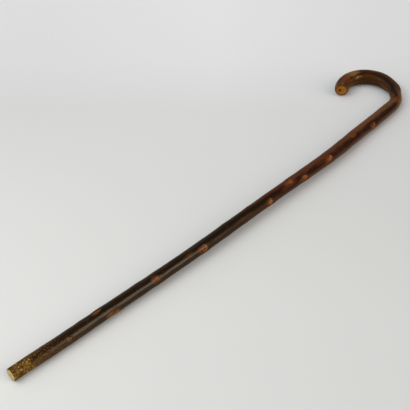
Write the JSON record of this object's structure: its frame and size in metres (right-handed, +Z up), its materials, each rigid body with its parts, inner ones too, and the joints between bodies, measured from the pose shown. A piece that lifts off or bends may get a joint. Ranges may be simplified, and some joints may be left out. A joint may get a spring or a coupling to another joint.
{
  "type": "walking stick",
  "caption": "Walking stick of bark-covered roundwood, steam-bent to a crook handle, with trimmed side-shoot knots and a plain sawn tip, lying flat.",
  "frame": {"origin": "middle of the stick's footprint, on the table it lies on", "axes": "+X along the shaft from the sawn tip to the crook, +Y to the side the crook curls to, +Z up from the table"},
  "size_m": [0.9157, 0.1564, 0.0278],
  "materials": {
    "varnished_bark": "gloss varnish",
    "sapwood": "sawn end grain",
    "heartwood": "sawn end grain",
    "pith": "sawn end grain",
    "knot_wood": "gloss varnish"
  },
  "bodies": {
    "root": {"bark": "varnished_bark", "sapwood": "sapwood", "heartwood": "heartwood", "pith": "pith", "side_shoot_knot_01": "knot_wood", "side_shoot_knot_02": "knot_wood", "side_shoot_knot_03": "knot_wood", "side_shoot_knot_04": "knot_wood", "side_shoot_knot_05": "knot_wood", "side_shoot_knot_06": "knot_wood", "side_shoot_knot_07": "knot_wood", "side_shoot_knot_08": "knot_wood", "side_shoot_knot_09": "knot_wood", "side_shoot_knot_10": "knot_wood", "side_shoot_knot_11": "knot_wood", "side_shoot_knot_12": "knot_wood", "side_shoot_knot_13": "knot_wood", "side_shoot_knot_14": "knot_wood", "side_shoot_knot_15": "knot_wood", "side_shoot_knot_16": "knot_wood", "side_shoot_knot_17": "knot_wood", "side_shoot_knot_18": "knot_wood"}
  },
  "joints": []
}
